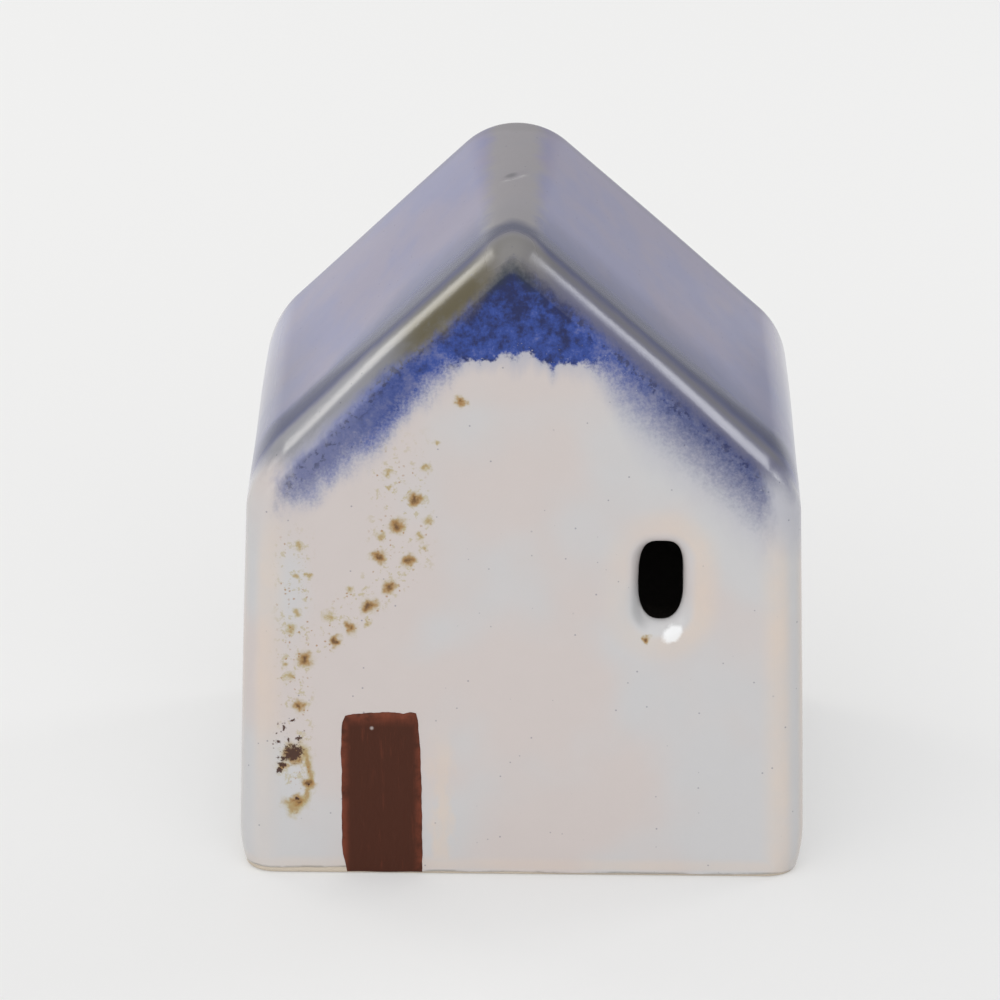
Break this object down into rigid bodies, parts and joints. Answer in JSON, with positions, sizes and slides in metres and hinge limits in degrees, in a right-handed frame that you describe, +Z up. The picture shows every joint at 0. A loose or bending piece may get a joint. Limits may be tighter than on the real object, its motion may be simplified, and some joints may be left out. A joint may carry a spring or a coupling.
{
  "type": "tealight house",
  "caption": "Slab-built glazed stoneware house with a rounded pitched roof, a small window and a brushed-on door, open at the base and lifted off over a tealight candle.",
  "frame": {"origin": "on the ground, under the middle of the house's foot", "axes": "+X to the right of the front gable, +Y from the front gable to the rear gable, +Z up"},
  "size_m": [0.0874, 0.0743, 0.1022],
  "materials": {
    "wall_glaze": "gloss",
    "roof_glaze": "gloss",
    "door_enamel": "satin",
    "cup_metal": "satin",
    "wax": "satin",
    "wick_cotton": "matte",
    "sustainer_steel": "satin"
  },
  "bodies": {
    "tealight": {"tealight_cup": "cup_metal", "candle_wax": "wax", "candle_wick": "wick_cotton", "wick_sustainer": "sustainer_steel"},
    "house": {"front_gable": "wall_glaze", "rear_gable": "wall_glaze", "left_wall": "wall_glaze", "right_wall": "wall_glaze", "left_roof": "roof_glaze", "right_roof": "roof_glaze", "door_enamel": "door_enamel"}
  },
  "joints": [
    {"name": "house_lift", "type": "slide", "parent": "tealight", "child": "house", "axis": [0, 0, 1], "range_m": [0, 0.12]}
  ]
}
